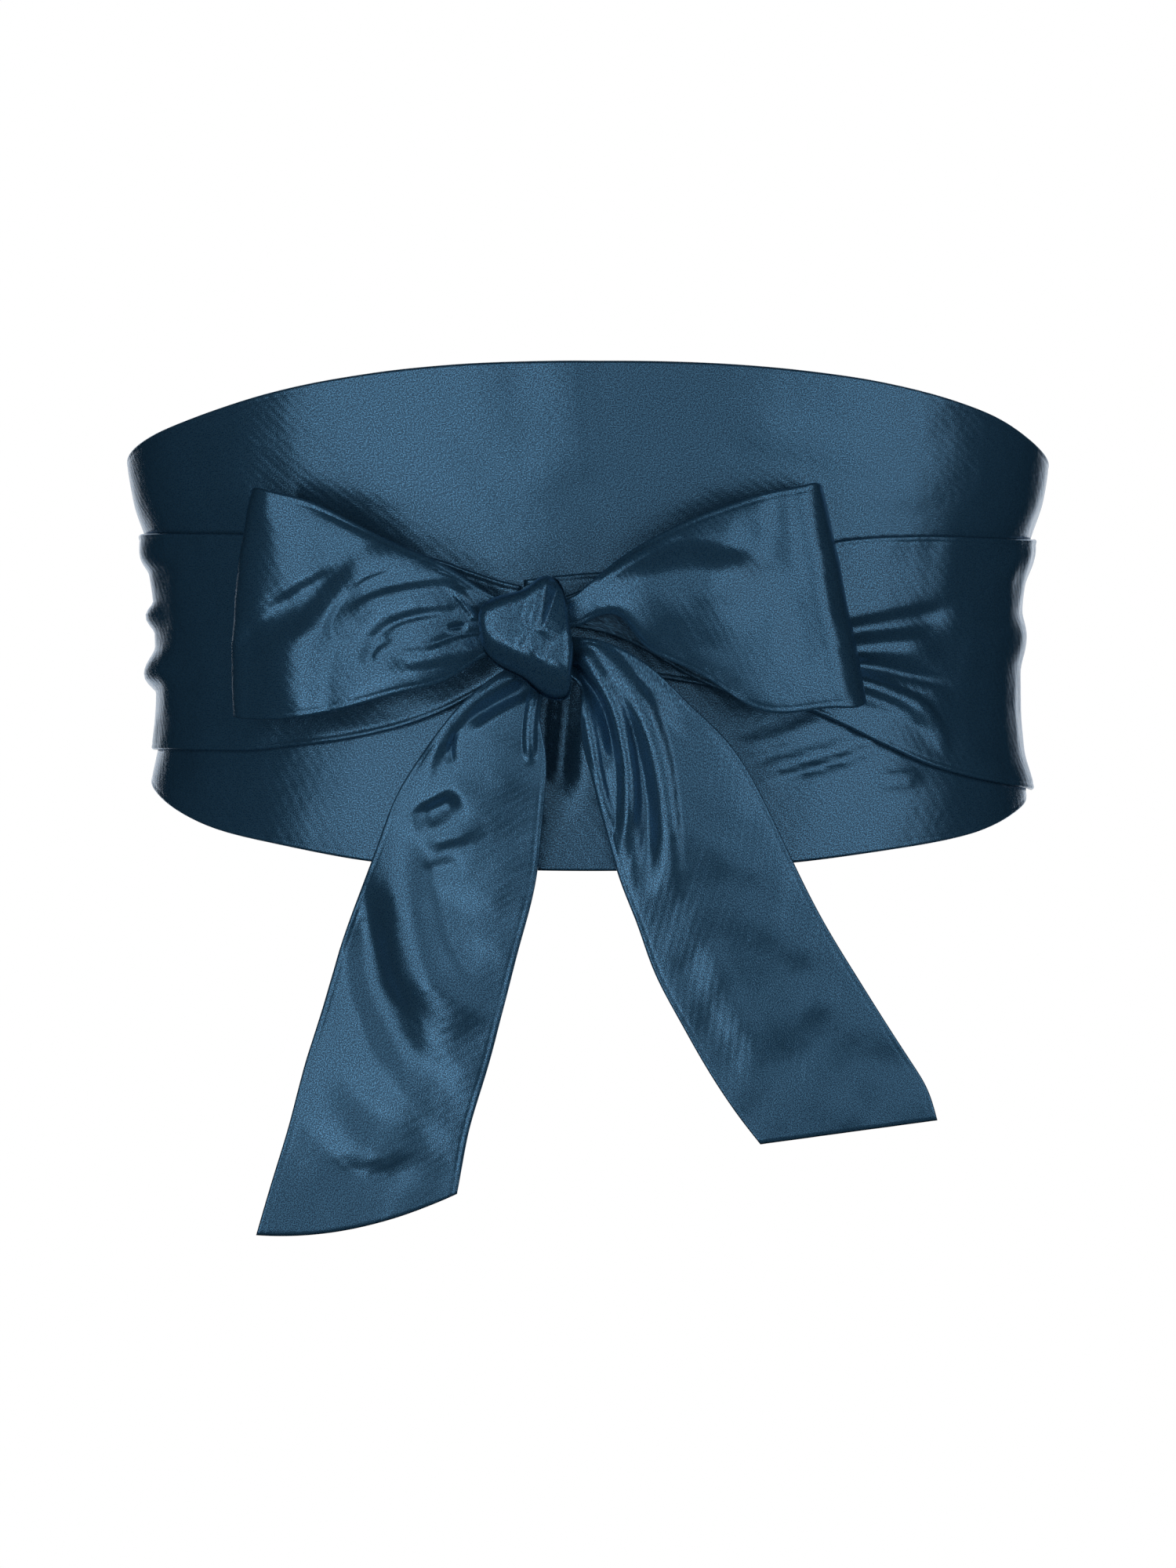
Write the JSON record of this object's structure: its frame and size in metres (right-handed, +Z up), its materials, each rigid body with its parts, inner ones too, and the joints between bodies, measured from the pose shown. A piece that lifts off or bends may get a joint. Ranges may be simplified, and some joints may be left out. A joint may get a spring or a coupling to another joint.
{
  "type": "satin waist sash",
  "caption": "Wide shaped satin waist sash, worn round the waist, with ties that cross behind and are knotted in a flat bow at the front.",
  "frame": {"origin": "middle of the hollow that the wearer's waist fills, half way up the front panel", "axes": "+X to the viewer's right across the waist, -Y to the front where the bow is, +Z up"},
  "size_m": [0.2657, 0.2167, 0.2402],
  "materials": {
    "satin": "navy polyester satin, smooth and glossy"
  },
  "bodies": {
    "root": {"front_panel": "satin", "wrap_left": "satin", "wrap_right": "satin", "bow_loop_left": "satin", "bow_loop_right": "satin", "tail_left": "satin", "tail_right": "satin", "knot": "satin"}
  },
  "joints": []
}
